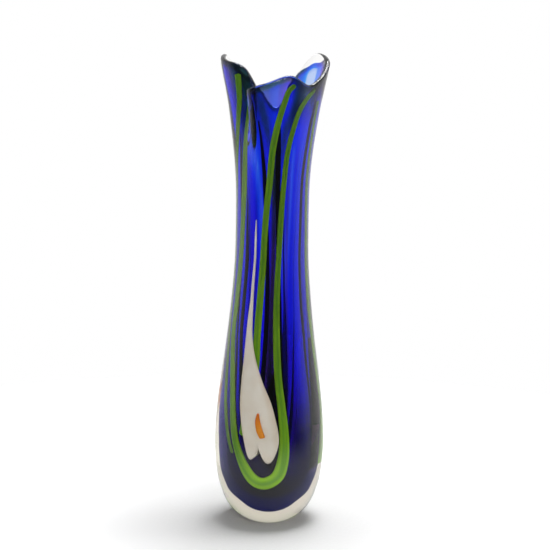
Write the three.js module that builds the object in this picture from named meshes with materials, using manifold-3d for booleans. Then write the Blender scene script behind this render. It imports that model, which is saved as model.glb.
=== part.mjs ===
// Cased art glass vase with a pulled and folded rim, in millimetres, +Z up.
// The origin is the centre of the flat base. Azimuth 0 is the front (-Y), and 90 degrees is +X.
// A cobalt gather holds the hollow of the vase. Green trails, white spathes and orange
// spadices lie on it, and a clear casing covers them all, thick at the foot and thin at the lip.

import * as THREE from 'three';
import Module from 'manifold-3d';

const wasm = await Module();
wasm.setup();

// Driving sizes of the blown form
const overall_height = 353.5;
const belly_radius = 41.5;
const foot_radius = 16.7;
const foot_bevel = 1;
const rim_dip = 42;
const lip_wall = 4;
const casing_wall = 15.8;
const colour_wall = 4;
const base_thickness = 14;
const base_dome_height = 32;
const floor_thickness = 9;
const floor_dome_height = 20;
const lip_cover = 2.6;
const ear_cover = 6;
const clearance = 0.3;
const cut_overrun = 1;

// Driving sizes of the inlaid trails and flowers
const loop_half_width = 4.6;
const loop_height = 2.4;
const stem_half_width = 2.5;
const stem_height = 1.5;
const strand_half_width = 1.9;
const strand_height = 1.3;
const spathe_half_width = 12.2;
const spathe_length = 164;
const spathe_lobe_drop = 16;
const spathe_height = 1.6;
const flower_rise = 10.9;
const spadix_half_width = 1.9;
const spadix_height = 2;

// Profile of the outside: share of the height, share of the belly radius
const outside_shares = [
  [0, 0.402], [0.0028, 0.452], [0.0085, 0.534], [0.017, 0.626], [0.0283, 0.717], [0.0495, 0.823],
  [0.0679, 0.88], [0.0891, 0.935], [0.1174, 0.971], [0.1683, 0.998], [0.2362, 0.972], [0.3069, 0.905],
  [0.3921, 0.807], [0.4762, 0.727], [0.5614, 0.67], [0.6465, 0.658], [0.7317, 0.669], [0.796, 0.715],
  [0.8871, 0.82], [0.9297, 0.891], [0.9713, 0.962], [1, 0.985],
];

// Thickness of the clear casing and of the colour: share of the height, share of the named wall
const casing_shares = [
  [0, 0.94], [0.06, 0.99], [0.1075, 1.02], [0.1683, 1.02], [0.2362, 0.95], [0.3069, 0.861],
  [0.4347, 0.633], [0.61, 0.43], [0.802, 0.291], [0.932, 0.175], [1, 0.152],
];
const colour_shares = [
  [0, 1], [0.208, 1], [0.4356, 0.825], [0.604, 0.75], [0.802, 0.6], [0.931, 0.42], [1, 0.375],
];

// Rim height by azimuth in degrees: share of the dip between the lowest valley and the ears
const rim_shares = [
  [-100, 0.95], [-75, 0.82], [-60, 0.714], [-46, 0.393], [-30, 0.32], [-8, 0.405], [20, 0.56],
  [50, 0.41], [75, 0.595], [95, 0.857], [118, 1], [132, 0.95], [150, 0.62], [174, 0.01], [210, 0.45],
  [245, 0.86],
];

// Plan of the mouth: azimuth on the round body, turn of that azimuth at the mouth, share of the
// mouth radius. The rows from -66 to -7 make the pinched fold, whose left side runs behind the
// front lobe.
const mouth_plan_shares = [
  [-100, 0, 0.98], [-82, -1, 0.985], [-66, 5, 0.84], [-50, 10.5, 0.61], [-36, -1, 0.81], [-22, -12, 1],
  [-7, -6, 0.98], [5, -2, 0.93], [25, 0, 0.93], [50, 0, 0.94], [75, 0, 1], [95, 0, 1.04],
  [130, 0, 0.98], [175, 0, 0.88], [220, 0, 0.93],
];
const mouth_start_share = 0.62;
const mouth_full_share = 0.93;
const mouth_easing = 3;
const softening_degrees = [-9, -6, -3, 0, 3, 6, 9];

// Routes of the trails: azimuth in degrees, share of the height, share of the half width. The
// stems go on behind their flowers.
const front_loop_shares = [
  [62, 0.924, 0.42], [52, 0.907, 0.42], [40, 0.881, 0.42], [33, 0.852, 0.42], [24, 0.796, 0.42],
  [20, 0.734, 0.42], [16, 0.652, 0.42], [13, 0.57, 0.42], [10, 0.485, 0.45], [10, 0.403, 0.5],
  [13, 0.318, 0.54], [18, 0.256, 0.6], [22, 0.191, 0.72], [21, 0.149, 0.84], [15, 0.118, 0.95],
  [3, 0.103, 1], [-12, 0.099, 1], [-25, 0.107, 0.96], [-36, 0.127, 0.84], [-46, 0.155, 0.7],
  [-55, 0.191, 0.6], [-62, 0.256, 0.54], [-69, 0.318, 0.54], [-78, 0.403, 0.54], [-75, 0.485, 0.54],
  [-69, 0.57, 0.54], [-62, 0.652, 0.54], [-56, 0.734, 0.54], [-54, 0.792, 0.54], [-54, 0.85, 0.52],
  [-54, 0.91, 0.48],
];
const back_loop_shares = [
  [75, 0.901, 0.4], [74, 0.861, 0.42], [74, 0.802, 0.42], [75, 0.734, 0.42], [80, 0.646, 0.42],
  [85, 0.548, 0.42], [88, 0.462, 0.45], [97, 0.392, 0.5], [108, 0.307, 0.54], [117, 0.248, 0.6],
  [124, 0.191, 0.72], [134, 0.149, 0.84], [147, 0.118, 0.95], [163, 0.104, 1], [178, 0.104, 1],
  [191, 0.115, 0.94], [200, 0.141, 0.82], [204, 0.183, 0.68], [200, 0.25, 0.58], [195, 0.321, 0.54],
  [191, 0.406, 0.5], [190, 0.491, 0.45], [192, 0.575, 0.42], [196, 0.66, 0.42], [200, 0.74, 0.42],
  [206, 0.802, 0.42], [214, 0.852, 0.4],
];
const front_stem_shares = [
  [28, 0.93, 0.76], [20, 0.916, 0.8], [16, 0.896, 0.84], [9, 0.858, 0.9], [0, 0.796, 0.92],
  [-5, 0.734, 0.9], [-12, 0.652, 0.86], [-16, 0.57, 0.9], [-20, 0.485, 0.96], [-23, 0.403, 1],
];
const back_stem_shares = [
  [172, 0.847, 0.8], [170, 0.802, 0.9], [168, 0.734, 0.9], [166, 0.652, 0.86], [163, 0.57, 0.9],
  [160, 0.485, 0.96], [157, 0.403, 1],
];
const left_trail_shares = [
  [-66, 0.9525, 1.3], [-67, 0.92, 1.2], [-68, 0.891, 1.1], [-74, 0.812, 1], [-84, 0.733, 0.95],
  [-92, 0.644, 0.9], [-97, 0.545, 0.9], [-98, 0.446, 0.9], [-93, 0.366, 0.95], [-88, 0.307, 1],
  [-84, 0.267, 1], [-78, 0.228, 0.9], [-73, 0.2, 0.85], [-67, 0.175, 0.75], [-60, 0.154, 0.6],
];

// Spathe: share of its length from the tip, lean in degrees from the tip, share of the half width
const spathe_outline_shares = [
  [0, 0, 0.02], [0.07, -1, 0.055], [0.167, -2.1, 0.06], [0.263, -4.4, 0.075], [0.359, -5.7, 0.09],
  [0.449, -7.4, 0.14], [0.544, -7.5, 0.205], [0.64, -4.5, 0.36], [0.736, 0.5, 0.595], [0.832, 7, 0.85],
  [0.928, 13, 0.937], [0.975, 16, 0.92], [1, 17.3, 0.88],
];

// Routes on and behind a flower: lean in degrees from its tip, share of its length from the tip,
// share of the half width
const spadix_route_shares = [
  [12.8, 0.87, 0.3], [12.5, 0.903, 0.75], [15.2, 0.948, 1], [19.5, 0.982, 0.9],
];
const stem_foot_shares = [
  [5, 0.647, 1], [0, 0.793, 1], [-9, 0.92, 1.05], [-13, 0.985, 1.1],
];
const front_tip_azimuth = -28;
const back_tip_azimuth = 151;

// Rings of the wall as shares of the overall height, then of the rise from the shoulder to the rim
const lower_ring_shares = [0.009, 0.019, 0.038, 0.064, 0.097, 0.137, 0.2, 0.285, 0.38, 0.48, 0.58];
const upper_ring_shares = [0.22, 0.42, 0.6, 0.75, 0.88, 1];
const dome_ring_shares = [0.06, 0.22, 0.45, 0.72];
const lip_turn_shares = [0.3, 0.5, 0.7, 1];

// Columns of the wall round the axis, closer together across the fold
const round_steps = 29;
const fold_steps = 11;
const fold_start = -58;
const fold_end = -20;
const full_turn = 360;

// Smooth curve through the rows of a table whose first column rises: cubic pieces that leave each
// row at the slope between its neighbours. With a period the table runs round and round.
function smooth(table, place, column = 1, period = 0) {
  const rows = table.length;
  const row = (index) => {
    const entry = table[period ? THREE.MathUtils.euclideanModulo(index, rows)
      : THREE.MathUtils.clamp(index, 0, rows - 1)];
    return [entry[0] + (period ? Math.floor(index / rows) * period : 0), entry[column]];
  };
  const first = table[0][0];
  const x = period ? first + THREE.MathUtils.euclideanModulo(place - first, period)
    : THREE.MathUtils.clamp(place, first, table[rows - 1][0]);
  const last_start = period ? rows - 1 : rows - 2;
  let start = 0;
  while (start < last_start && row(start + 1)[0] <= x) {
    start += 1;
  }
  const [before, left, right, after] = [-1, 0, 1, 2].map((step) => row(start + step));
  const slope = (a, b) => (b[1] - a[1]) / (b[0] - a[0]);
  const span = right[0] - left[0];
  const enter = slope(before, right) * span;
  const leave = slope(left, after) * span;
  const t = (x - left[0]) / span;
  const [t2, t3] = [t * t, t * t * t];
  return (2 * t3 - 3 * t2 + 1) * left[1] + (t3 - 2 * t2 + t) * enter + (3 * t2 - 2 * t3) * right[1]
    + (t3 - t2) * leave;
}

// The walls of the glass by height, and the rim by azimuth
const half_lip = lip_wall / 2;
const ear_start_share = 0.65;
const outsideRadius = (z) => belly_radius * smooth(outside_shares, z / overall_height);
const casingThickness = (z) => casing_wall * smooth(casing_shares, z / overall_height);
const colourThickness = (z) => colour_wall * smooth(colour_shares, z / overall_height);
const rimShare = (azimuth) => smooth(rim_shares, azimuth, 1, full_turn);
const rimHeight = (azimuth) => overall_height - rim_dip * (1 - rimShare(azimuth));
const lipStart = (azimuth) => rimHeight(azimuth) - half_lip;
const colourTop = (azimuth) => {
  const ear = THREE.MathUtils.smoothstep(rimShare(azimuth), ear_start_share, 1);
  return rimHeight(azimuth) - lip_cover - ear_cover * ear;
};

// Radius of a surface with a round bottom: a quarter ellipse up to the top of its dome, then the
// radius of the wall
function roundBottomRadius(z, bottom, dome_top, wallRadius) {
  if (z >= dome_top) {
    return wallRadius(z);
  }
  const left_share = Math.min(1, (dome_top - z) / (dome_top - bottom));
  return wallRadius(dome_top) * Math.sqrt(1 - left_share * left_share);
}

// Surfaces inside the glass: the outside of the cobalt gather, the bore of the casing that holds
// it, and the hollow. Each is given as a depth measured in from the outside.
const gather_bottom = base_thickness;
const gather_dome_top = base_thickness + base_dome_height;
const bore_bottom = gather_bottom - clearance;
const hollow_bottom = base_thickness + floor_thickness;
const hollow_dome_top = hollow_bottom + floor_dome_height;
const gatherWall = (z) => outsideRadius(z) - casingThickness(z);
const boreWall = (z) => gatherWall(z) + clearance;
const hollowWall = (z) => gatherWall(z) - colourThickness(z);
const gatherRadius = (z) => roundBottomRadius(z, gather_bottom, gather_dome_top, gatherWall);
const gatherDepth = (z) => outsideRadius(z) - gatherRadius(z);
const boreRadius = (z) => roundBottomRadius(z, bore_bottom, gather_dome_top, boreWall);
const boreDepth = (z) => outsideRadius(z) - boreRadius(z);
const hollowRadius = (z) => roundBottomRadius(z, hollow_bottom, hollow_dome_top, hollowWall);
const hollowDepth = (z) => outsideRadius(z) - hollowRadius(z);

// Direction at an azimuth, as a unit vector
function direction(azimuth) {
  const angle = THREE.MathUtils.degToRad(azimuth);
  return new THREE.Vector2(Math.sin(angle), -Math.cos(angle));
}

// Plan of the mouth as a share of its radius, softened by the mean of a few degrees to each side
function mouthPoint(azimuth) {
  const mean = new THREE.Vector2();
  softening_degrees.forEach((nudge) => {
    const place = azimuth + nudge;
    const turned = direction(place + smooth(mouth_plan_shares, place, 1, full_turn));
    const share = smooth(mouth_plan_shares, place, 2, full_turn);
    mean.addScaledVector(turned, share / softening_degrees.length);
  });
  return mean;
}

// Middle line of the wall at one height: a circle low down, the plan of the mouth at the top
function middlePoint(azimuth, z) {
  const ramp = THREE.MathUtils.smoothstep(z / overall_height, mouth_start_share, mouth_full_share);
  const middle = direction(azimuth).lerp(mouthPoint(azimuth), ramp ** mouth_easing);
  return middle.multiplyScalar(outsideRadius(z) - half_lip);
}

// A point of the glass at an azimuth, a height and a depth. It leaves the middle line of the wall
// square to it, so a folded wall keeps its thickness.
const azimuth_nudge = 0.25;
function glassPoint(azimuth, z, depth) {
  const middle = middlePoint(azimuth, z);
  const ahead = middlePoint(azimuth + azimuth_nudge, z);
  const along = ahead.sub(middlePoint(azimuth - azimuth_nudge, z)).normalize();
  const outward = half_lip - depth;
  return new THREE.Vector3(middle.x + along.y * outward, middle.y - along.x * outward, z);
}

// A point over the bore of the casing, at a level measured outwards from it
const borePoint = (azimuth, z, level) => glassPoint(azimuth, z, boreDepth(z) - level);

const columns = [];
for (let step = 0; step < fold_steps; step += 1) {
  columns.push(fold_start + ((fold_end - fold_start) * step) / fold_steps);
}
for (let step = 0; step < round_steps; step += 1) {
  columns.push(fold_end + ((full_turn + fold_start - fold_end) * step) / round_steps);
}

// Geometry of points and faces, with every face turned outwards
function closedGeometry(points, faces) {
  let volume = 0;
  for (let index = 0; index < faces.length; index += 3) {
    const [a, b, c] = [points[faces[index]], points[faces[index + 1]], points[faces[index + 2]]];
    volume += a.dot(b.clone().cross(c));
  }
  const geometry = new THREE.BufferGeometry().setFromPoints(points);
  geometry.setIndex(volume > 0 ? faces : faces.toReversed());
  return geometry;
}

// Closed skin from one pole through rings of points to another pole. Each quad is split along its
// shorter diagonal, so two skins that lie side by side are split alike and stay apart.
function poleToPole(first_pole, rings, last_pole) {
  const points = [first_pole, ...rings.flat(), last_pole];
  const count = rings[0].length;
  const last_ring = 1 + (rings.length - 1) * count;
  const faces = [];
  for (let side = 0; side < count; side += 1) {
    const next = (side + 1) % count;
    faces.push(0, 1 + next, 1 + side);
    for (let low = 1; low < last_ring; low += count) {
      const [a, b, c, d] = [low + side, low + next, low + count + next, low + count + side];
      if (points[a].distanceTo(points[c]) < points[b].distanceTo(points[d])) {
        faces.push(a, b, c, a, c, d);
      } else {
        faces.push(a, b, d, b, c, d);
      }
    }
    faces.push(last_ring + side, last_ring + next, points.length - 1);
  }
  return closedGeometry(points, faces);
}

// Rings of one surface of the wall. Low rings lie at given heights, and upper ones climb in the
// same shares of each column's own rise, so the top ring follows the rim.
const shoulder_height = overall_height * lower_ring_shares.at(-1);
const lower_heights = lower_ring_shares.map((share) => overall_height * share);
const ringOf = (place) => columns.map((azimuth) => place(azimuth));
function wallRings(heights, topOf, depthOf) {
  const low = heights.map((z) => ringOf((azimuth) => glassPoint(azimuth, z, depthOf(z))));
  const high = upper_ring_shares.map((share) => ringOf((azimuth) => {
    const z = shoulder_height + (topOf(azimuth) - shoulder_height) * share;
    return glassPoint(azimuth, z, depthOf(z));
  }));
  return [...low, ...high];
}

// Heights of the rings of a surface with a round bottom. Those of the wall start a base thickness
// above its dome, so that no sliver lies between.
function domeHeights(bottom, dome_top) {
  const dome = dome_ring_shares.map((share) => bottom + (dome_top - bottom) * share);
  return [...dome, dome_top, ...lower_heights.filter((z) => z > dome_top + base_thickness)];
}

function casingBlank() {
  const foot_ring = ringOf((azimuth) => glassPoint(azimuth, 0, outsideRadius(0) - foot_radius));
  const outside = wallRings([foot_bevel, ...lower_heights], lipStart, () => 0);
  const lip = lip_turn_shares.map((share) => ringOf((azimuth) => {
    const turn = Math.PI * share;
    const height = lipStart(azimuth) + half_lip * Math.sin(turn);
    return glassPoint(azimuth, height, half_lip * (1 - Math.cos(turn)));
  }));
  const edgeHeight = (azimuth) => colourTop(azimuth) + clearance;
  const hollow_edge = ringOf((azimuth) => {
    const height = edgeHeight(azimuth);
    return glassPoint(azimuth, height, hollowDepth(height));
  });
  const bore = wallRings(domeHeights(bore_bottom, gather_dome_top), edgeHeight, boreDepth).toReversed();
  const foot_centre = new THREE.Vector3(0, 0, 0);
  const bore_centre = new THREE.Vector3(0, 0, bore_bottom);
  return poleToPole(foot_centre, [foot_ring, ...outside, ...lip, hollow_edge, ...bore], bore_centre);
}

function cobaltGather() {
  const outside = wallRings(domeHeights(gather_bottom, gather_dome_top), colourTop, gatherDepth);
  const hollow = wallRings(domeHeights(hollow_bottom, hollow_dome_top), colourTop, hollowDepth).toReversed();
  const gather_centre = new THREE.Vector3(0, 0, gather_bottom);
  const hollow_centre = new THREE.Vector3(0, 0, hollow_bottom);
  return poleToPole(gather_centre, [...outside, ...hollow], hollow_centre);
}

// Unit direction across a route, in degrees of azimuth and millimetres of height per millimetre
function acrossRoute(azimuth, z, azimuth_step, height_step) {
  const by_azimuth = borePoint(azimuth + azimuth_nudge, z, 0).sub(borePoint(azimuth - azimuth_nudge, z, 0))
    .divideScalar(2 * azimuth_nudge);
  const by_height = borePoint(azimuth, z + clearance, 0).sub(borePoint(azimuth, z - clearance, 0))
    .divideScalar(2 * clearance);
  const [e, f, g] = [by_azimuth.dot(by_azimuth), by_azimuth.dot(by_height), by_height.dot(by_height)];
  const turn = -(f * azimuth_step + g * height_step);
  const climb = e * azimuth_step + f * height_step;
  const length = Math.sqrt(e * turn * turn + 2 * f * turn * climb + g * climb * climb);
  return [turn / length, climb / length];
}

// Section of a trail: share of the half width across, share of the height above its seat
const trail_section_shares = [
  [-0.8, 0], [0, 0], [0.8, 0], [1, 0.4], [0.6, 0.86], [0, 1], [-0.6, 0.86], [-1, 0.4],
];
const thin_height_share = 0.45;
const end_share = 0.4;

// Solid of a trail laid along a route of [azimuth, height, width share]. Its seat is a level over
// the bore, and a cutter is the same trail grown by the clearance and sunk through its seat.
function trailSolid({ route, half_width, height, steps, seat = 0 }, grow = 0, sink = 0) {
  const stations = route.map((row) => new THREE.Vector3(...row));
  const path = new THREE.CatmullRomCurve3(stations, false, 'centripetal').getPoints(steps);
  const rings = path.map((here, index) => {
    const before = path[Math.max(0, index - 1)];
    const after = path[Math.min(steps, index + 1)];
    const [turn, climb] = acrossRoute(here.x, here.y, after.x - before.x, after.y - before.y);
    const ends = index === 0 || index === steps ? end_share : 1;
    const width = half_width * here.z * ends + grow;
    const rise = height * (thin_height_share + (1 - thin_height_share) * here.z) + grow;
    return trail_section_shares.map(([across, up]) => borePoint(here.x + turn * width * across,
      here.y + climb * width * across, seat + (up > 0 ? rise * up : -sink)));
  });
  const capPole = (ring, index, outward_step) => {
    const centre = new THREE.Vector3();
    ring.forEach((point) => centre.addScaledVector(point, 1 / ring.length));
    const inner = borePoint(path[index].x, path[index].y, seat + height / 2);
    const neighbour = path[index - outward_step];
    const outward = inner.sub(borePoint(neighbour.x, neighbour.y, seat + height / 2)).normalize();
    return centre.addScaledVector(outward, half_width * path[index].z * end_share + grow);
  };
  return poleToPole(capPole(rings[0], 0, -1), rings, capPole(rings[steps], steps, 1));
}

// Route with its heights in millimetres
function onHeight(shares) {
  return shares.map(([azimuth, share, width]) => [azimuth, overall_height * share, width]);
}

// Slab between two like grids, with a wall round their edge. The first row of each is one point.
function gridSlab(rows, across, place) {
  const half = 1 + rows * (across + 1);
  const number = (side, row, column) => side * half + (row === 0 ? 0 : 1 + (row - 1) * (across + 1) + column);
  const points = [];
  const edge = [[0, 0]];
  for (let row = 1; row <= rows; row += 1) {
    edge.push([row, 0]);
  }
  for (let column = 1; column < across; column += 1) {
    edge.push([rows, column]);
  }
  for (let row = rows; row > 0; row -= 1) {
    edge.push([row, across]);
  }
  const faces = [];
  [0, 1].forEach((side) => {
    points[number(side, 0, 0)] = place(0, across / 2, side);
    for (let row = 1; row <= rows; row += 1) {
      for (let column = 0; column <= across; column += 1) {
        points[number(side, row, column)] = place(row, column, side);
      }
    }
    for (let row = 0; row < rows; row += 1) {
      for (let column = 0; column < across; column += 1) {
        const [a, b] = [number(side, row, column), number(side, row, column + 1)];
        const [c, d] = [number(side, row + 1, column + 1), number(side, row + 1, column)];
        const quad = row === 0 ? [a, c, d] : [a, b, c, a, c, d];
        faces.push(...(side ? quad : quad.toReversed()));
      }
    }
  });
  edge.forEach((here, index) => {
    const next = edge[(index + 1) % edge.length];
    const [a, b, c, d] = [number(0, ...here), number(0, ...next), number(1, ...next), number(1, ...here)];
    faces.push(a, c, b, a, d, c);
  });
  return closedGeometry(points, faces);
}

// Spathe: rows from its tip to the notch of its foot, columns from edge to edge. Two lobes hang
// below the notch, which lies left of the middle, and the longer one ends a rise above the foot of
// the loop. The back of the spathe lies level over the stem, and its face is crowned. A grown
// spathe has a narrower notch, so that its clearance goes all round the lobes.
const spathe_rows = 14;
const spathe_columns = 8;
const lobe_start_share = 0.6;
const lobe_roundness = 0.7;
const notch_share = -0.2;
const left_lobe_share = 0.85;
const crown_start_share = 0.5;
const crown_fall_share = 0.8;
const loop_foot_height = overall_height * Math.min(...front_loop_shares.map((row) => row[1]));
const lobe_foot_height = loop_foot_height + loop_half_width + flower_rise;
const spathe_tip_height = lobe_foot_height + spathe_lobe_drop + spathe_length;
const spathe_seat = stem_height + clearance;

function spatheSolid(tip_azimuth, grow = 0) {
  return gridSlab(spathe_rows, spathe_columns, (row, column, face) => {
    const down = row / spathe_rows;
    const across = (2 * column) / spathe_columns - 1;
    const z = spathe_tip_height + grow - (spathe_length + 2 * grow) * down;
    const breadth = smooth(spathe_outline_shares, down, 2);
    const half_turn = THREE.MathUtils.radToDeg((spathe_half_width * breadth + grow) / gatherRadius(z));
    const lobe_growth = Math.max(0, (down - lobe_start_share) / (1 - lobe_start_share)) ** 2;
    const skewed = across + notch_share * lobe_growth * (1 - Math.abs(across));
    const azimuth = tip_azimuth + smooth(spathe_outline_shares, down, 1) + half_turn * skewed;
    const notch_fill = (grow / (spathe_half_width * breadth)) * (1 - Math.abs(across));
    const from_notch = Math.min(1, Math.abs(across) + notch_fill);
    const lobe_share = across < 0 ? left_lobe_share : 1;
    const lobe = lobe_share * Math.sin(Math.PI * from_notch) ** lobe_roundness;
    const fall = Math.sqrt(1 - crown_fall_share * across * across);
    const crown = spathe_height * Math.min(1, crown_start_share + breadth) * fall;
    const level = face ? crown + grow : -grow;
    return borePoint(azimuth, z - (spathe_lobe_drop + grow) * lobe * lobe_growth, spathe_seat + level);
  });
}

// Route with its places measured along a flower
function onFlower(shares, tip_azimuth) {
  return shares.map(([lean, share, width]) => [
    tip_azimuth + lean, spathe_tip_height - spathe_length * share, width]);
}

// Spadix: a short round trail that lies on its spathe
const spadix_seat = spathe_seat + spathe_height + clearance;
const spadix_steps = 6;
const spadix_size = {
  half_width: spadix_half_width, height: spadix_height, steps: spadix_steps, seat: spadix_seat,
};
const spadixTrail = (tip_azimuth) => ({
  route: onFlower(spadix_route_shares, tip_azimuth), ...spadix_size,
});

const loop_steps = 46;
const stem_steps = 22;
const left_trail_steps = 20;
const loop_size = { half_width: loop_half_width, height: loop_height, steps: loop_steps };
const stem_size = { half_width: stem_half_width, height: stem_height, steps: stem_steps };
const strand_size = { half_width: strand_half_width, height: strand_height, steps: left_trail_steps };
const stemTrail = (shares, tip_azimuth) => ({
  route: [...onHeight(shares), ...onFlower(stem_foot_shares, tip_azimuth)], ...stem_size,
});
const trails = {
  front_loop_trail: { route: onHeight(front_loop_shares), ...loop_size },
  back_loop_trail: { route: onHeight(back_loop_shares), ...loop_size },
  front_stem_trail: stemTrail(front_stem_shares, front_tip_azimuth),
  back_stem_trail: stemTrail(back_stem_shares, back_tip_azimuth),
  left_trail: { route: onHeight(left_trail_shares), ...strand_size },
  front_spadix: spadixTrail(front_tip_azimuth),
  back_spadix: spadixTrail(back_tip_azimuth),
};
const spathes = { front_spathe: front_tip_azimuth, back_spathe: back_tip_azimuth };

// Closed geometry as a solid for cutting, and back
function solidOf(geometry) {
  const mesh = new wasm.Mesh({
    numProp: 3,
    vertProperties: new Float32Array(geometry.attributes.position.array),
    triVerts: new Uint32Array(geometry.index.array),
  });
  return new wasm.Manifold(mesh);
}

function geometryOf(solid) {
  const mesh = solid.getMesh();
  const geometry = new THREE.BufferGeometry();
  geometry.setAttribute('position', new THREE.BufferAttribute(mesh.vertProperties, 3));
  geometry.setIndex(new THREE.BufferAttribute(mesh.triVerts, 1));
  return geometry;
}

// The casing is cut by every inlay, grown by the clearance. The cut for a spadix reaches down
// into the pocket of its spathe.
function clearCasing() {
  let casing = solidOf(casingBlank());
  Object.values(trails).forEach((trail) => {
    const sink = trail.seat ? spathe_height : cut_overrun;
    casing = casing.subtract(solidOf(trailSolid(trail, clearance, sink)));
  });
  Object.values(spathes).forEach((tip_azimuth) => {
    casing = casing.subtract(solidOf(spatheSolid(tip_azimuth, clearance)));
  });
  return geometryOf(casing);
}

const glass = (color, roughness) => new THREE.MeshStandardMaterial({ color, roughness, metalness: 0 });
const clear_glass = glass('#e3e8dc', 0.04);
const cobalt_glass = glass('#2a18b4', 0.06);
const green_glass = glass('#5f9a24', 0.12);
const white_glass = glass('#d8d2bf', 0.18);
const orange_glass = glass('#d9822a', 0.15);

const vase = new THREE.Group();
function addPiece(name, geometry, material) {
  const mesh = new THREE.Mesh(geometry, material);
  mesh.name = name;
  vase.add(mesh);
}

addPiece('clear_casing', clearCasing(), clear_glass);
addPiece('cobalt_gather', cobaltGather(), cobalt_glass);
Object.entries(trails).forEach(([name, trail]) => {
  addPiece(name, trailSolid(trail), name.endsWith('spadix') ? orange_glass : green_glass);
});
Object.entries(spathes).forEach(([name, tip_azimuth]) => {
  addPiece(name, spatheSolid(tip_azimuth), white_glass);
});

export default vase;
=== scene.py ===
import math

import bpy
import numpy as np
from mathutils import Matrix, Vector


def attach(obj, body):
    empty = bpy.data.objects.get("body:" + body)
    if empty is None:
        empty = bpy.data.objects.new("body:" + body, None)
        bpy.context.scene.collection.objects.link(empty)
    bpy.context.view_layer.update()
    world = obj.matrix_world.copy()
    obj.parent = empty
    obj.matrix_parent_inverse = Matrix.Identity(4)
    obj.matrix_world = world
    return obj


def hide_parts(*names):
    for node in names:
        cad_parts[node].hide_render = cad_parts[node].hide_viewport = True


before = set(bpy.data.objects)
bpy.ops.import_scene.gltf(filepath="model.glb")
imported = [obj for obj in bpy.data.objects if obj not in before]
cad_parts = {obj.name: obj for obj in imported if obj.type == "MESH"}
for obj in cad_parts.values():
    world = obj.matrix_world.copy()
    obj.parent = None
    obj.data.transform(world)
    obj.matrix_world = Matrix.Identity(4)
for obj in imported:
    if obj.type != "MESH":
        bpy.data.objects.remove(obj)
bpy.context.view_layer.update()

bl_info = {
    "name": "Cased Glass Vase",
    "version": (1, 0, 0),
    "blender": (4, 5, 0),
    "location": "View3D > Sidebar > Vase",
    "description": "Builds a cased art glass vase with inlaid trails and flowers, and a stage for it",
    "category": "Add Mesh",
}

# Millimetres in a metre, and degrees in a turn
MILLIMETRES = 1000
FULL_TURN = 360

# Cobalt by height: share of the height, density, hue from violet (0) to azure and teal (1)
COBALT_SHARES = [
    (0, 1.05, 0), (0.1, 0.95, 0), (0.18, 0.76, 0), (0.27, 0.52, 0), (0.36, 0.33, 0), (0.5, 0.17, 0.1),
    (0.65, 0.12, 0.3), (0.8, 0.16, 0.5), (0.87, 0.3, 0.65), (0.93, 0.46, 0.75), (1, 0.6, 0.8),
]

# Streaks in the cobalt, partly its own streaks and partly painted shade and light: denser and paler
# bands set where refraction through the folds, the dim room and long paths along the edges darken or
# brighten it. Columns: half width in degrees, density, hue, then azimuth and share of the height
FRONT_STREAKS_AND_SHADING = [
    (9, 0.55, 0.3, ((38, 0.9), (22, 0.84), (11, 0.77), (6, 0.69), (4, 0.58), (0, 0.48), (-2, 0.27))),
    (6, 0.45, 0.2, ((-10, 0.88), (-6, 0.84), (-1, 0.78), (3, 0.72))),
    (3.5, 0.3, 0.2, ((-14, 0.82), (-13, 0.775), (-9, 0.69), (-7, 0.62))),
    (7, -0.3, 0.9, ((-38, 0.81), (-33, 0.775), (-27, 0.69), (-20, 0.62), (-16, 0.54))),
    (8, 0.2, -0.3, ((-38, 0.74), (-36, 0.69), (-38, 0.6), (-40, 0.5), (-42, 0.4))),
    (7, -0.05, 0.5, ((55, 0.8), (52, 0.69), (52, 0.58), (50, 0.48), (46, 0.4))),
    (3, 0.2, 0, ((45, 0.78), (43, 0.69), (42, 0.58), (41, 0.48))),
    (10, -0.15, 0, ((28, 0.8), (26, 0.69), (27, 0.58), (28, 0.48), (28, 0.42))),
]
RIM_STREAKS_AND_SHADING = [
    (12, 0.5, 0.8, ((-62, 1), (-62, 0.9), (-62, 0.82), (-60, 0.76))),
    (6, -0.3, 0.4, ((-40, 0.93), (-40, 0.88), (-40, 0.8))),
    (9, 0.4, 0.3, ((40, 0.99), (42, 0.93), (46, 0.88))),
    (9, 0.45, 0.2, ((66, 0.99), (64, 0.9))),
    (12, 0.8, -0.6, ((96, 0.995), (92, 0.94))),
    (19, -0.85, 0, ((120, 0.995), (120, 0.92))),
    (16, 0.3, 0.7, ((220, 1), (220, 0.9), (222, 0.84))),
    (9, -0.15, -0.8, ((-84, 0.99), (-86, 0.9), (-88, 0.8))),
]
LOW_STREAKS_AND_SHADING = [
    (9, -0.28, -0.2, ((33, 0.32), (33, 0.25), (34, 0.18), (36, 0.11))),
    (8, 0.2, 0, ((18, 0.34), (18, 0.27), (20, 0.22))),
    (4, 0.35, 0, ((38, 0.42), (37, 0.37), (32, 0.3), (26, 0.25))),
    (6, -0.3, 0, ((-34, 0.42), (-35, 0.37), (-35, 0.27), (-36, 0.2))),
    (8, -0.2, 0, ((-50, 0.16), (-44, 0.1))),
]
BACK_STREAKS_AND_SHADING = [
    (9, 0.6, 0.2, ((178, 0.8), (176, 0.6), (178, 0.4), (182, 0.2))),
    (6, 0.4, 0, ((140, 0.75), (134, 0.55), (132, 0.35))),
    (7, 0.4, 0.3, ((222, 0.7), (228, 0.5), (226, 0.3))),
    (6, 0.35, 0, ((92, 0.8), (84, 0.6), (82, 0.35))),
    (6, 0.35, 0.3, ((262, 0.8), (258, 0.6), (262, 0.35))),
]
# All the streaks, with the painted bands of shade and light among them
STREAKS_AND_SHADING = FRONT_STREAKS_AND_SHADING + RIM_STREAKS_AND_SHADING + LOW_STREAKS_AND_SHADING + BACK_STREAKS_AND_SHADING

# A streak fades out over its ends, from a little inside the last row to a little beyond it
FADE_INSIDE_SHARE = 0.02
FADE_BEYOND_SHARE = 0.06
FULL_DENSITY = 1.2

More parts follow.
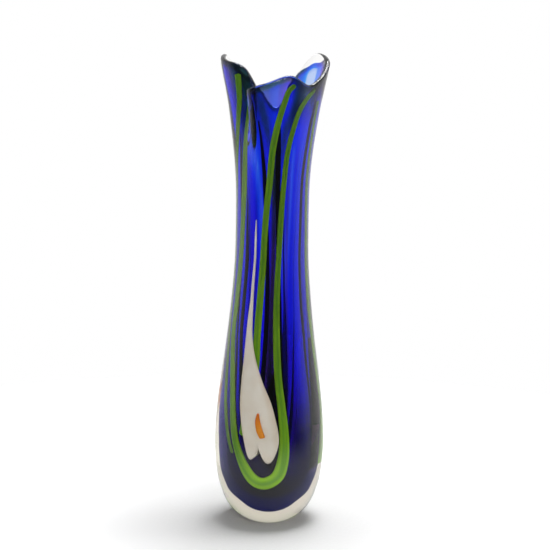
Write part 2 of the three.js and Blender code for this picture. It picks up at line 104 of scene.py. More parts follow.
# Profile of the outside: share of the height, share of the belly radius
OUTSIDE_SHARES = [
    (0, 0.402), (0.0028, 0.452), (0.0085, 0.534), (0.017, 0.626), (0.0283, 0.717), (0.0495, 0.823),
    (0.0679, 0.88), (0.0891, 0.935), (0.1174, 0.971), (0.1683, 0.998), (0.2362, 0.972), (0.3069, 0.905),
    (0.3921, 0.807), (0.4762, 0.727), (0.5614, 0.67), (0.6465, 0.658), (0.7317, 0.669), (0.796, 0.715),
    (0.8871, 0.82), (0.9297, 0.891), (0.9713, 0.962), (1, 0.985),
]

# Above this share of the height, the rings of the wall rise evenly to the rim
SHOULDER_SHARE = 0.58

# Thickness of the clear casing and of the colour: share of the height, share of the named wall
CASING_SHARES = [
    (0, 0.94), (0.06, 0.99), (0.1075, 1.02), (0.1683, 1.02), (0.2362, 0.95), (0.3069, 0.861),
    (0.4347, 0.633), (0.61, 0.43), (0.802, 0.291), (0.932, 0.175), (1, 0.152),
]
COLOUR_SHARES = [
    (0, 1), (0.208, 1), (0.4356, 0.825), (0.604, 0.75), (0.802, 0.6), (0.931, 0.42), (1, 0.375),
]

# Rim by azimuth in degrees: share of the dip between the lowest valley and the ears
RIM_SHARES = [
    (-100, 0.95), (-75, 0.82), (-60, 0.714), (-46, 0.393), (-30, 0.32), (-8, 0.405), (20, 0.56),
    (50, 0.41), (75, 0.595), (95, 0.857), (118, 1), (132, 0.95), (150, 0.62), (174, 0.01), (210, 0.45),
    (245, 0.86),
]

# Plan of the mouth: azimuth on the round body, turn of it at the mouth, share of the mouth radius
MOUTH_SHARES = [
    (-100, 0, 0.98), (-82, -1, 0.985), (-66, 5, 0.84), (-50, 10.5, 0.61), (-36, -1, 0.81),
    (-22, -12, 1), (-7, -6, 0.98), (5, -2, 0.93), (25, 0, 0.93), (50, 0, 0.94), (75, 0, 1),
    (95, 0, 1.04), (130, 0, 0.98), (175, 0, 0.88), (220, 0, 0.93),
]

# The round body turns into that plan between two shares of the height, by an eased share to this
# power. The plan is softened by a mean over some degrees, and more columns lie across the fold.
MOUTH_START_SHARE = 0.62
MOUTH_FULL_SHARE = 0.93
MOUTH_EASING = 3
SOFTENING_DEGREES = (-9, -6, -3, 0, 3, 6, 9)
FOLD_DEGREES = (-60, -18)

# The cobalt ends in a round bead in the lip, which stays lower where the rim rises to the ears:
# azimuth, share of the ear cover that the bead rises again
BEAD_SHARES = [
    (-105, 0.3), (-92, 0.55), (-75, 1), (0, 1), (75, 1), (92, 1), (102, 0.9), (112, 0.2), (120, 0),
    (135, 0), (160, 0.6), (200, 0.8), (235, 0.3),
]

# The bead's radius as a share of half the lip's wall, its run up from both skins as a share of the
# whole, what it adds to the density, and the share of the rim at which an ear begins
BEAD_RADIUS_SHARE = 0.82
BEAD_REACH_SHARE = 1.5
BEAD_DENSITY = 0.35
EAR_START_SHARE = 0.65

# Routes of the trails: azimuth in degrees, share of the height, share of the half width
FRONT_LOOP_SHARES = [
    (62, 0.924, 0.42), (52, 0.907, 0.42), (40, 0.881, 0.42), (33, 0.852, 0.42), (24, 0.796, 0.42),
    (20, 0.734, 0.42), (16, 0.652, 0.42), (13, 0.57, 0.42), (10, 0.485, 0.45), (10, 0.403, 0.5),
    (13, 0.318, 0.54), (18, 0.256, 0.6), (22, 0.191, 0.72), (21, 0.149, 0.84), (15, 0.118, 0.95),
    (3, 0.103, 1), (-12, 0.099, 1), (-25, 0.107, 0.96), (-36, 0.127, 0.84), (-46, 0.155, 0.7),
    (-55, 0.191, 0.6), (-62, 0.256, 0.54), (-69, 0.318, 0.54), (-78, 0.403, 0.54), (-75, 0.485, 0.54),
    (-69, 0.57, 0.54), (-62, 0.652, 0.54), (-56, 0.734, 0.54), (-54, 0.792, 0.54), (-54, 0.85, 0.52),
    (-54, 0.91, 0.48),
]
BACK_LOOP_SHARES = [
    (75, 0.901, 0.4), (74, 0.861, 0.42), (74, 0.802, 0.42), (75, 0.734, 0.42), (80, 0.646, 0.42),
    (85, 0.548, 0.42), (88, 0.462, 0.45), (97, 0.392, 0.5), (108, 0.307, 0.54), (117, 0.248, 0.6),
    (124, 0.191, 0.72), (134, 0.149, 0.84), (147, 0.118, 0.95), (163, 0.104, 1), (178, 0.104, 1),
    (191, 0.115, 0.94), (200, 0.141, 0.82), (204, 0.183, 0.68), (200, 0.25, 0.58), (195, 0.321, 0.54),
    (191, 0.406, 0.5), (190, 0.491, 0.45), (192, 0.575, 0.42), (196, 0.66, 0.42), (200, 0.74, 0.42),
    (206, 0.802, 0.42), (214, 0.852, 0.4),
]
FRONT_STEM_SHARES = [
    (28, 0.93, 0.76), (20, 0.916, 0.8), (16, 0.896, 0.84), (9, 0.858, 0.9), (0, 0.796, 0.92),
    (-5, 0.734, 0.9), (-12, 0.652, 0.86), (-16, 0.57, 0.9), (-20, 0.485, 0.96), (-23, 0.403, 1),
]
BACK_STEM_SHARES = [
    (172, 0.847, 0.8), (170, 0.802, 0.9), (168, 0.734, 0.9), (166, 0.652, 0.86), (163, 0.57, 0.9),
    (160, 0.485, 0.96), (157, 0.403, 1),
]
LEFT_TRAIL_SHARES = [
    (-66, 0.9525, 1.3), (-67, 0.92, 1.2), (-68, 0.891, 1.1), (-74, 0.812, 1), (-84, 0.733, 0.95),
    (-92, 0.644, 0.9), (-97, 0.545, 0.9), (-98, 0.446, 0.9), (-93, 0.366, 0.95), (-88, 0.307, 1),
    (-84, 0.267, 1), (-78, 0.228, 0.9), (-73, 0.2, 0.85), (-67, 0.175, 0.75), (-60, 0.154, 0.6),
]

# Flower: share of its length from the tip, lean in degrees from the tip, share of the half width
SPATHE_SHARES = [
    (0, 0, 0.02), (0.07, -1, 0.055), (0.167, -2.1, 0.06), (0.263, -4.4, 0.075), (0.359, -5.7, 0.09),
    (0.449, -7.4, 0.14), (0.544, -7.5, 0.205), (0.64, -4.5, 0.36), (0.736, 0.5, 0.595),
    (0.832, 7, 0.85), (0.928, 13, 0.937), (0.975, 16, 0.92), (1, 17.3, 0.88),
]

# Routes on and behind a flower: lean in degrees, share of its length, share of the half width
SPADIX_SHARES = [
    (12.8, 0.87, 0.3), (12.5, 0.903, 0.75), (15.2, 0.948, 1), (19.5, 0.982, 0.9),
]
STEM_FOOT_SHARES = [
    (5, 0.647, 1), (0, 0.793, 1), (-9, 0.92, 1.05), (-13, 0.985, 1.1),
]
FRONT_TIP_AZIMUTH = -28
BACK_TIP_AZIMUTH = 151

# Shape of a flower: where its lobes start, how far its notch lies aside, its left lobe beside the
# right one, its thickness at the tip, and the power that rounds its face and lobes
LOBE_START_SHARE = 0.6
NOTCH_SHARE = -0.2
LEFT_LOBE_SHARE = 0.85
TIP_CROWN_SHARE = 0.5
FLOWER_ROUNDNESS = 0.7

# Shape of a trail: the power that rounds it, its rise where it is thin, and the width of its ends
TRAIL_ROUNDNESS = 0.8
THIN_RISE_SHARE = 0.45
LEAST_END_SHARE = 0.02

# Counts of points: columns of the glass, rows and sides of the inlays. A flower's rows crowd to
# its lobes by a power.
CASING_COLUMNS = 300
GATHER_COLUMNS = 270
LOOP_STEPS = 260
STEM_STEPS = 160
SPADIX_STEPS = 60
FLOWER_ROWS = 150
FLOWER_SIDES = 96
TRAIL_SIDES = 24
ROW_CROWDING = 0.85

# Small steps over which the slope of the glass is measured
NUDGE_DEGREES = 0.25
NUDGE_HEIGHT = 0.0003

# The tint of a glass is what it leaves of white over this way, in metres
CLEAR_TINT_WAY = 0.09
COBALT_TINT_WAY = 0.003

# What a crossing of the cobalt's surface leaves of white: density, violet melt, azure melt
COBALT_TINTS = [
    (0.0, "#ffffff", "#ffffff"), (0.06, "#c096ff", "#50c4ff"), (0.22, "#a06cfc", "#40a0ff"),
    (0.45, "#b85ae2", "#487cd8"), (0.7, "#cc709e", "#508c80"), (1.0, "#6c4468", "#40684c"),
]

# Stage: floor, softboxes as place, width and power in watts, and the camera of the photograph
FLOOR_RADIUS = 0.55
FLOOR_SIDES = 120
FLOOR_DROP = 0.0002
SOFTBOXES = {
    "top_softbox": ((0.14, 0.14, 1.25), 0.6, 13.0),
    "key_softbox": ((0.3, -1.3, 0.5), 0.45, 4.8),
}
SOFTBOX_TARGET = (0, 0, 0.15)
GLASS_BOUNCES = 24
CAMERA_PLACE = (0, -0.95, 0.3035)
PITCH_DEGREES = 6.97
ROLL_DEGREES = -0.83
YAW_DEGREES = -0.06
SENSOR_WIDTH = 36.0
FOCAL_PIXELS = 1270.5
IMAGE_PIXELS = 550


def linear_colour(code):
    """An sRGB hex code as linear red, green and blue."""
    shares = np.array([int(code[i:i + 2], 16) for i in (1, 3, 5)]) / 255
    return tuple(np.where(shares <= 0.04045, shares / 12.92, ((shares + 0.055) / 1.055) ** 2.4))


def length_property(name, description, default):
    """A size in metres that is shown as a length."""
    return bpy.props.FloatProperty(
        name=name, description=description, default=default, min=0.0, subtype="DISTANCE", unit="LENGTH"
    )


def colour_property(name, description, code):
    """A colour that starts as an sRGB hex code."""
    return bpy.props.FloatVectorProperty(
        name=name, description=description, default=linear_colour(code), min=0.0, max=1.0,
        size=3, subtype="COLOR",
    )


class VaseSizes(bpy.types.PropertyGroup):
    """Sizes of the blown form and of its inlays"""

    overall_height: length_property("Height", "From the foot to the tips of the ears", 0.3535)
    belly_radius: length_property("Belly radius", "Widest radius of the outside", 0.0415)
    foot_radius: length_property("Foot radius", "Radius of the polished flat", 0.0167)
    foot_bevel: length_property("Foot bevel", "Height of the ground edge of the foot", 0.001)
    rim_dip: length_property("Rim dip", "From the ears down to the lowest valley of the rim", 0.042)
    lip_wall: length_property("Lip wall", "Thickness of the round lip", 0.004)
    casing_wall: length_property("Casing wall", "Thickest clear wall, at the belly", 0.0158)
    colour_wall: length_property("Colour wall", "Thickest wall of the cobalt gather", 0.004)
    base_thickness: length_property("Base thickness", "Clear glass under the cobalt", 0.014)
    base_dome_height: length_property("Base dome", "Height of the round bottom of the cobalt", 0.032)
    floor_thickness: length_property("Floor thickness", "Cobalt under the hollow", 0.009)
    floor_dome_height: length_property("Floor dome", "Height of the round bottom of the hollow", 0.02)
    lip_cover: length_property("Lip cover", "Clear glass above the cobalt along the rim", 0.0026)
    ear_cover: length_property("Ear cover", "More clear glass above the cobalt at the ears", 0.006)
    inlay_gap: length_property("Inlay gap", "Gap between the inlays and the cobalt", 0.0003)
    loop_half_width: length_property("Loop half width", "Half the width of a loop at its foot", 0.0046)
    loop_height: length_property("Loop height", "How far a loop stands up from the cobalt", 0.0024)
    stem_half_width: length_property("Stem half width", "Half the width of a stem", 0.0025)
    stem_height: length_property("Stem height", "How far a stem stands up from the cobalt", 0.0015)
    strand_half_width: length_property("Strand half width", "Half the width of the left trail", 0.0019)
    strand_height: length_property("Strand height", "How far the left trail stands up", 0.0013)
    spathe_half_width: length_property("Spathe half width", "Half the width of a flower", 0.0122)
    spathe_length: length_property("Spathe length", "From a flower's tip to its notch", 0.164)
    spathe_lobe_drop: length_property("Lobe drop", "How far the lobes hang below the notch", 0.016)
    spathe_height: length_property("Spathe height", "Thickness of a flower at its middle", 0.0016)
    flower_rise: length_property("Flower rise", "From the foot of the loop up to the lobes", 0.0109)
    spadix_half_width: length_property("Spadix half width", "Half the width of a spadix", 0.0019)
    spadix_height: length_property("Spadix height", "Thickness of a spadix", 0.002)


class VaseColours(bpy.types.PropertyGroup):
    """Colours of the glasses and of the stage"""

    clear_depth: colour_property("Clear tint", "What 90 mm of clear glass leaves of white", "#cdc3b0")
    cobalt_depth: colour_property("Cobalt tint", "What 3 mm of cobalt glass leaves of white", "#95b4f6")
    # Under the clear casing an inlay shows about half of its colour, so the next six are light
    green: colour_property("Green", "Body colour of the trails", "#a4e232")
    green_deep: colour_property("Deep green", "Threads and core of the trails", "#4c9c34")
    white: colour_property("White", "Body colour of the flowers", "#fffbf4")
    white_shade: colour_property("White shade", "Thin places and edges of the flowers", "#efe4d4")
    orange: colour_property("Orange", "Body colour of the spadices", "#ffa43c")
    orange_deep: colour_property("Deep orange", "Upper tip of the spadices", "#e8762c")
    paper: colour_property("Paper", "Darker places of the floor's paper", "#f6f6f6")


def cubic(t, start, end, enter, leave):
    """Goes from start at t = 0 to end at t = 1, with the slopes enter and leave at the two."""
    t2, t3 = t * t, t * t * t
    left_part = (2 * t3 - 3 * t2 + 1) * start + (t3 - 2 * t2 + t) * enter
    return left_part + (3 * t2 - 2 * t3) * end + (t3 - t2) * leave


def smooth_table(rows, place, column=1, period=0.0):
    """Smooth curve through the rows of a table, at many places at once.

    Cubic pieces join the rows, and each row is left at the slope between its two neighbours.
    With a period the table runs round and round.
    """
    table = np.asarray(rows, float)
    x, y = table[:, 0], table[:, column]
    if period:
        x = np.concatenate([[x[-1] - period], x, x[:2] + period])
        y = np.concatenate([[y[-1]], y, y[:2]])
        place = x[1] + np.mod(place - x[1], period)
    else:
        x = np.concatenate([[x[0]], x, [x[-1]]])
        y = np.concatenate([[y[0]], y, [y[-1]]])
        place = np.clip(place, x[0], x[-1])
    start = np.clip(np.searchsorted(x, place, side="right") - 1, 1, len(x) - 3)
    span = x[start + 1] - x[start]
    enter = (y[start + 1] - y[start - 1]) / (x[start + 1] - x[start - 1]) * span
    leave = (y[start + 2] - y[start]) / (x[start + 2] - x[start]) * span
    return cubic((place - x[start]) / span, y[start], y[start + 1], enter, leave)


def eased(value, low, high):
    """Rises from 0 at low to 1 at high along the cubic 3t^2 - 2t^3."""
    t = np.clip((value - low) / (high - low), 0, 1)
    return t * t * (3 - 2 * t)


def direction(azimuth):
    """Unit vectors in plan. Azimuth 0 is the front (-Y), and 90 degrees is +X."""
    angle = np.radians(azimuth)
    return np.stack([np.sin(angle), -np.cos(angle)], axis=-1)


def mouth_plan(azimuth):
    """Plan of the mouth as a share of its radius, softened by the mean of a few degrees each side."""
    place = np.asarray(azimuth, float)[..., None] + np.array(SOFTENING_DEGREES)
    turned = direction(place + smooth_table(MOUTH_SHARES, place, 1, FULL_TURN))
    return (turned * smooth_table(MOUTH_SHARES, place, 2, FULL_TURN)[..., None]).mean(axis=-2)


class BlownForm:
    """Surfaces of the blown glass as functions of azimuth in degrees and height in metres."""

    def __init__(self, sizes):
        self.sizes = sizes
        self.half_lip = sizes.lip_wall / 2
        self.bead_radius = BEAD_RADIUS_SHARE * self.half_lip
        self.bead_reach = BEAD_REACH_SHARE * sizes.lip_wall
        self.gather_bottom = sizes.base_thickness
        self.gather_dome_top = sizes.base_thickness + sizes.base_dome_height
        self.hollow_bottom = sizes.base_thickness + sizes.floor_thickness
        self.hollow_dome_top = self.hollow_bottom + sizes.floor_dome_height

    def outside_radius(self, z):
        return self.sizes.belly_radius * smooth_table(OUTSIDE_SHARES, z / self.sizes.overall_height)

    def rim_height(self, azimuth):
        share = smooth_table(RIM_SHARES, azimuth, 1, FULL_TURN)
        return self.sizes.overall_height - self.sizes.rim_dip * (1 - share)

    def lip_start(self, azimuth):
        return self.rim_height(azimuth) - self.half_lip

    def bead_middle(self, azimuth):
        """Height of the middle of the bead, whose top is half the lip cover under the rim.

        At the ears it is lower by the ear cover, but for the share that the bead rises again.
        """
        ear = eased(smooth_table(RIM_SHARES, azimuth, 1, FULL_TURN), EAR_START_SHARE, 1)
        left = 1 - np.clip(smooth_table(BEAD_SHARES, azimuth, 1, FULL_TURN), 0, 1)
        top = self.rim_height(azimuth) - self.sizes.lip_cover / 2 - self.sizes.ear_cover * ear * left
        return top - self.bead_radius

    def gather_wall(self, z):
        casing = self.sizes.casing_wall * smooth_table(CASING_SHARES, z / self.sizes.overall_height)
        return self.outside_radius(z) - casing

    def hollow_wall(self, z):
        colour = self.sizes.colour_wall * smooth_table(COLOUR_SHARES, z / self.sizes.overall_height)
        return self.gather_wall(z) - colour

    @staticmethod
    def round_bottom(z, bottom, dome_top, wall_radius):
        """Radius of a quarter ellipse up to the top of its dome, then the radius of the wall."""
        left = np.clip((dome_top - z) / (dome_top - bottom), 0, 1)
        return wall_radius(np.maximum(z, dome_top)) * np.sqrt(1 - left * left)

    def gather_depth(self, z):
        radius = self.round_bottom(z, self.gather_bottom, self.gather_dome_top, self.gather_wall)
        return self.outside_radius(z) - radius

    def hollow_depth(self, z):
        radius = self.round_bottom(z, self.hollow_bottom, self.hollow_dome_top, self.hollow_wall)
        return self.outside_radius(z) - radius

    def middle_line(self, azimuth, z):
        """Middle of the lip's wall: a circle low down, which turns into the plan of the mouth."""
        ramp = eased(z / self.sizes.overall_height, MOUTH_START_SHARE, MOUTH_FULL_SHARE) ** MOUTH_EASING
        circle = direction(azimuth)
        plan = circle + (mouth_plan(azimuth) - circle) * ramp[..., None]
        return plan * (self.outside_radius(z) - self.half_lip)[..., None]

    def glass_point(self, azimuth, z, depth):
        """Point of the glass at a depth from the outside, square to the middle line of the wall."""
        azimuth, z, depth = np.broadcast_arrays(azimuth, z, depth)
        before, after = azimuth - NUDGE_DEGREES, azimuth + NUDGE_DEGREES
        along = self.middle_line(after, z) - self.middle_line(before, z)
        along = along / np.linalg.norm(along, axis=-1, keepdims=True)
        square = np.stack([along[..., 1], -along[..., 0]], axis=-1)
        plan = self.middle_line(azimuth, z) + square * (self.half_lip - depth)[..., None]
        return np.concatenate([plan, z[..., None]], axis=-1)

    def inlay_point(self, azimuth, z, level=0.0):
        """Point over the bore of the casing, at a level measured outwards from it."""
        depth = self.gather_depth(z) - self.sizes.inlay_gap
        return self.glass_point(azimuth, z, depth - level)

    def bead_blend(self, z, top, depth, side):
        """Depth of a skin of the cobalt that runs over to the bead's outer (-1) or inner (1) side."""
        near_top = eased(z - top, -self.bead_reach, 0)
        return depth + (self.half_lip + side * self.bead_radius - depth) * near_top


def wall_columns(count):
    """Azimuths round the wall, a third of them across the fold."""
    low, high = FOLD_DEGREES
    fold = np.linspace(low, high, count // 3, endpoint=False)
    rest = np.linspace(high, low + FULL_TURN, count - len(fold), endpoint=False)
    return np.concatenate([fold, rest])


def wall_heights(form, bottom, top, low_rings, high_rings):
    """Heights of rings: level ones up to the shoulder, then in even shares up to each column's top."""
    shoulder = SHOULDER_SHARE * form.sizes.overall_height
    low = np.linspace(bottom, shoulder, low_rings, endpoint=False)[:, None]
    share = np.linspace(0, 1, high_rings)[:, None]
    return np.concatenate([low + 0 * top, shoulder + (top - shoulder) * share])


def dome_heights(bottom, dome_top, rings):
    """Heights of rings on a round bottom, in even steps of the angle of its quarter ellipse."""
    angle = np.linspace(0, math.pi / 2, rings + 2)[1:-1]
    return (dome_top - (dome_top - bottom) * np.cos(angle))[:, None]


def half_turn(rings):
    """Angles of rings over a round edge, which lie between its two sides."""
    return np.linspace(0, math.pi, rings + 2)[1:-1, None]


def band_points(form, azimuth, bands):
    """Heights and points of the rings of a wall, from bands of heights and depths."""
    parts = [np.broadcast_arrays(z, depth, azimuth)[:2] for z, depth in bands]
    heights, depths = [np.concatenate(part) for part in zip(*parts)]
    return heights, form.glass_point(azimuth, heights, depths)


def fill_mesh(mesh, points, quads, triangles):
    """Puts arrays of points, quads and triangles into a mesh."""
    corners = np.concatenate([quads.ravel(), triangles.ravel()])
    sides = np.concatenate([np.full(len(quads), 4), np.full(len(triangles), 3)])
    starts = np.concatenate([[0], np.cumsum(sides)[:-1]])
    mesh.vertices.add(len(points))
    mesh.vertices.foreach_set("co", points.astype(np.float32).ravel())
    mesh.loops.add(len(corners))
    mesh.loops.foreach_set("vertex_index", corners.astype(np.int32))
    mesh.polygons.add(len(sides))
    mesh.polygons.foreach_set("loop_start", starts.astype(np.int32))
    mesh.polygons.foreach_set("use_smooth", np.ones(len(sides), bool))
    mesh.update(calc_edges=True)
    if mesh.validate():
        raise RuntimeError(f"mesh {mesh.name} had faults")


def ring_faces(rings, columns):
    """Quads between closed rings, and the triangle fans of the two poles. Point 0 is the first pole."""
    here = np.arange(columns)
    after = (here + 1) % columns
    low = 1 + columns * np.arange(rings - 1)[:, None]
    quads = np.stack(
        [low + here, low + after, low + columns + after, low + columns + here], axis=-1
    ).reshape(-1, 4)
    last = 1 + columns * (rings - 1)
    first_fan = np.stack([0 * here, 1 + after, 1 + here], axis=-1)
    last_fan = np.stack([0 * here + last + columns, last + here, last + after], axis=-1)
    return quads, np.concatenate([first_fan, last_fan])


def add_piece(node, mesh, material):
    """Links a finished mesh as the piece that stands for a CAD node."""
    mesh.materials.append(material)
    piece = bpy.data.objects.new(node + "_glass", mesh)
    bpy.context.scene.collection.objects.link(piece)
    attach(piece, "root")
    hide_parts(node)


def store(mesh, name, rings):
    """Stores three numbers for each point of the rings as an attribute. A pole takes its ring's."""
    values = np.concatenate([[rings[0, 0]], rings.reshape(-1, 3), [rings[-1, 0]]])
    attribute = mesh.attributes.new(name, "FLOAT_VECTOR", "POINT")
    attribute.data.foreach_set("vector", values.astype(np.float32).ravel())


def closed_surface(name, rings, first_pole, last_pole):
    """Closed mesh of rings of points between two poles.

    Where its volume, the sum of a . (b x c) over its triangles, comes out negative, it is turned.
    """
    points = np.concatenate([[first_pole], rings.reshape(-1, 3), [last_pole]])
    quads, triangles = ring_faces(*rings.shape[:2])
    halves = np.concatenate([triangles, quads[:, [0, 1, 2]], quads[:, [0, 2, 3]]])
    a, b, c = points[halves[:, 0]], points[halves[:, 1]], points[halves[:, 2]]
    if (a * np.cross(b, c)).sum() < 0:
        quads, triangles = quads[:, ::-1], triangles[:, ::-1]
    mesh = bpy.data.meshes.new(name)
    fill_mesh(mesh, points, quads, triangles)
    return mesh


def inlay_surface(name, rings, flow):
    """Closed mesh of an inlay, with poles in the middle of its end rings and its own coordinates."""
    mesh = closed_surface(name, rings, rings[0].mean(axis=0), rings[-1].mean(axis=0))
    store(mesh, "flow", np.stack(np.broadcast_arrays(*flow), axis=-1))
    return mesh


def casing_mesh(form):
    """Clear glass: foot, outside, round lip and hollow as one skin of revolution, bent by the fold.

    A ring at azimuth a and height z lies at the middle line of the wall, moved square to it by a
    depth: 0 on the outside, half the lip's wall times 1 - cos of the turn on the lip, and the
    whole wall on the hollow.
    """
    sizes = form.sizes
    azimuth = wall_columns(CASING_COLUMNS)
    lip_start = form.lip_start(azimuth)
    foot_radii = np.linspace(0.2, 1, 5)[:, None] * sizes.foot_radius
    outside_z = wall_heights(form, sizes.foot_bevel, lip_start, low_rings=84, high_rings=66)
    turn = half_turn(rings=14)
    hollow_z = wall_heights(form, form.hollow_dome_top, lip_start, low_rings=50, high_rings=62)[::-1]
    thickened = eased(lip_start - hollow_z, 0, 2 * sizes.lip_wall)
    dome_z = dome_heights(form.hollow_bottom, form.hollow_dome_top, rings=15)[::-1]
    _, rings = band_points(form, azimuth, [
        (0 * foot_radii, form.outside_radius(0.0) - foot_radii),
        (outside_z, 0.0),
        (lip_start + form.half_lip * np.sin(turn), form.half_lip * (1 - np.cos(turn))),
        (hollow_z, sizes.lip_wall + (form.hollow_depth(hollow_z) - sizes.lip_wall) * thickened),
        (dome_z, form.hollow_depth(dome_z)),
    ])
    return closed_surface("clear_casing", rings, (0, 0, 0), (0, 0, form.hollow_bottom))


def gather_mesh(form):
    """Cobalt glass: its outside, a round bead in the lip, and its inside just behind the hollow's skin.

    At a turn t over the bead, a point lies the bead's radius times sin t above its middle, and
    half the lip's wall less the radius times cos t deep. Below, both skins run over to its sides.
    Its flow is a circle of radius 1 round the axis, and the height in metres.
    """
    azimuth = wall_columns(GATHER_COLUMNS)
    skin = form.sizes.inlay_gap / 4
    top = form.bead_middle(azimuth)
    low_z = dome_heights(form.gather_bottom, form.gather_dome_top, rings=21)
    outside_z = wall_heights(form, form.gather_dome_top, top, low_rings=64, high_rings=56)
    turn = half_turn(rings=8)
    inside_z = wall_heights(form, form.hollow_dome_top, top, low_rings=50, high_rings=50)[::-1]
    floor_z = dome_heights(form.hollow_bottom, form.hollow_dome_top, rings=15)[::-1]
    heights, rings = band_points(form, azimuth, [
        (low_z, form.gather_depth(low_z)),
        (outside_z, form.bead_blend(outside_z, top, form.gather_depth(outside_z), -1)),
        (top + form.bead_radius * np.sin(turn), form.half_lip - form.bead_radius * np.cos(turn)),
        (inside_z, form.bead_blend(inside_z, top, form.hollow_depth(inside_z) - skin, 1)),
        (floor_z, form.hollow_depth(floor_z) - skin),
    ])
    poles = [(0, 0, form.gather_bottom), (0, 0, form.hollow_bottom - skin)]
    mesh = closed_surface("cobalt_gather", rings, *poles)
    round_axis = np.broadcast_to(direction(azimuth), (*heights.shape, 2))
    store(mesh, "flow", np.concatenate([round_axis, heights[..., None]], axis=-1))
    # Density and hue of the cobalt by place, streaks and painted bands of shade and light among them
    look = cobalt_look(azimuth, heights / form.sizes.overall_height)
    look[..., 0] += BEAD_DENSITY * eased(heights - top, -form.bead_reach / 2, 0)
    store(mesh, "cobalt_streaks_and_shading", look)
    return mesh


def cobalt_look(azimuth, share):
    """Density and hue of the cobalt: tables by height, with streaks that fade from their middle lines.
    Some streaks are painted shade and light: darker and paler bands that stand in for refraction.

    A streak adds its density and its hue times exp(-d^2), where d is the way round from its
    middle line in half widths, and it fades out over its ends. The third number stays 0.
    """
    density = smooth_table(COBALT_SHARES, share, 1)
    hue = smooth_table(COBALT_SHARES, share, 2)
    for half_width, density_step, hue_step, route in STREAKS_AND_SHADING:
        rows = sorted((place, middle) for middle, place in route)
        lowest, highest = rows[0][0], rows[-1][0]
        aside = (azimuth - smooth_table(rows, share) + FULL_TURN / 2) % FULL_TURN - FULL_TURN / 2
        above = eased(share, lowest - FADE_BEYOND_SHARE, lowest + FADE_INSIDE_SHARE)
        below = eased(-share, -highest - FADE_BEYOND_SHARE, -highest + FADE_INSIDE_SHARE)
        weight = above * below * np.exp(-((aside / half_width) ** 2))
        density = density + density_step * weight
        hue = hue + hue_step * weight
    return np.stack([np.clip(density, 0, FULL_DENSITY), np.clip(hue, 0, 1), 0 * hue], axis=-1)


def smooth_route(route, steps):
    """Centripetal spline through the rows of a route, at even shares of its rows.

    Its heights count in millimetres there, so that they weigh about as much as the degrees.
    """
    rows = np.asarray(route, float) * (1, MILLIMETRES, 1)
    rows = np.concatenate([[2 * rows[0] - rows[1]], rows, [2 * rows[-1] - rows[-2]]])
    share = np.linspace(0, len(route) - 1, steps + 1)
    start = np.minimum(share.astype(int), len(route) - 2)
    points = [rows[start + offset] for offset in range(4)]
    gaps = [np.linalg.norm(points[i + 1] - points[i], axis=1) ** 0.5 for i in range(3)]
    t = (share - start)[:, None]
    before, span, after = [gap[:, None] for gap in gaps]
    enter = span * (
        (points[1] - points[0]) / before - (points[2] - points[0]) / (before + span)
        + (points[2] - points[1]) / span
    )
    leave = span * (
        (points[2] - points[1]) / span - (points[3] - points[1]) / (span + after)
        + (points[3] - points[2]) / after
    )
    return cubic(t, points[1], points[2], enter, leave) / (1, MILLIMETRES, 1)


def on_height(form, shares):
    """Route with its heights in metres."""
    return [(azimuth, form.sizes.overall_height * share, width) for azimuth, share, width in shares]


def flower_tip_height(form):
    """Height of a flower's tip, worked up from the foot of the loop under it."""
    sizes = form.sizes
    loop_foot = sizes.overall_height * min(row[1] for row in FRONT_LOOP_SHARES)
    lobe_foot = loop_foot + sizes.loop_half_width + sizes.flower_rise
    return lobe_foot + sizes.spathe_lobe_drop + sizes.spathe_length


def on_flower(form, shares, tip_azimuth):
    """Route with its places measured along a flower."""
    tip = flower_tip_height(form)
    return [
        (tip_azimuth + lean, tip - form.sizes.spathe_length * share, width)
        for lean, share, width in shares
    ]


def trail_mesh(form, name, route, half_width, height, steps, seat=0.0):
    """Trail of glass pressed flat on the cobalt.

    Across the route, at an angle t round the section, a point lies half the width times cos t to
    the side and the height times sin t to the power 0.8 up, but no lower than the seat. Both ends
    draw in along a quarter circle.
    """
    path = smooth_route(route, steps)
    step = np.gradient(path, axis=0)
    azimuth, z, width = path.T
    by_azimuth, by_height = [
        (form.inlay_point(azimuth + nudge, z + lift) - form.inlay_point(azimuth - nudge, z - lift))
        / (2 * (nudge + lift))
        for nudge, lift in ((NUDGE_DEGREES, 0), (0, NUDGE_HEIGHT))
    ]
    # A metre to the side of the route, on the curved glass, is this turn and this climb
    e = (by_azimuth * by_azimuth).sum(axis=1)
    f = (by_azimuth * by_height).sum(axis=1)
    g = (by_height * by_height).sum(axis=1)
    turn = -(f * step[:, 0] + g * step[:, 1])
    climb = e * step[:, 0] + f * step[:, 1]
    length = np.sqrt(e * turn * turn + 2 * f * turn * climb + g * climb * climb)
    turn, climb = turn / length, climb / length
    pace = np.linalg.norm(by_azimuth * step[:, :1] + by_height * step[:, 1:2], axis=1)
    travelled = np.cumsum(pace) - pace[0]
    end_length = half_width * np.minimum(width[0], width[-1])
    near_end = np.clip(np.minimum(travelled, travelled[-1] - travelled) / end_length, 0, 1)
    drawn_in = np.sqrt(np.clip(1 - (1 - near_end) ** 2, LEAST_END_SHARE, 1))
    angle = np.linspace(0, 2 * math.pi, TRAIL_SIDES, endpoint=False)
    across = np.cos(angle)
    up = np.clip(np.sin(angle), 0, 1) ** TRAIL_ROUNDNESS
    side = (half_width * width * drawn_in)[:, None] * across
    risen = THIN_RISE_SHARE + (1 - THIN_RISE_SHARE) * width
    rise = (height * risen * drawn_in)[:, None] * up
    azimuths = azimuth[:, None] + turn[:, None] * side
    rings = form.inlay_point(azimuths, z[:, None] + climb[:, None] * side, seat + rise)
    return inlay_surface(name, rings, (travelled[:, None], across, half_width * width[:, None]))


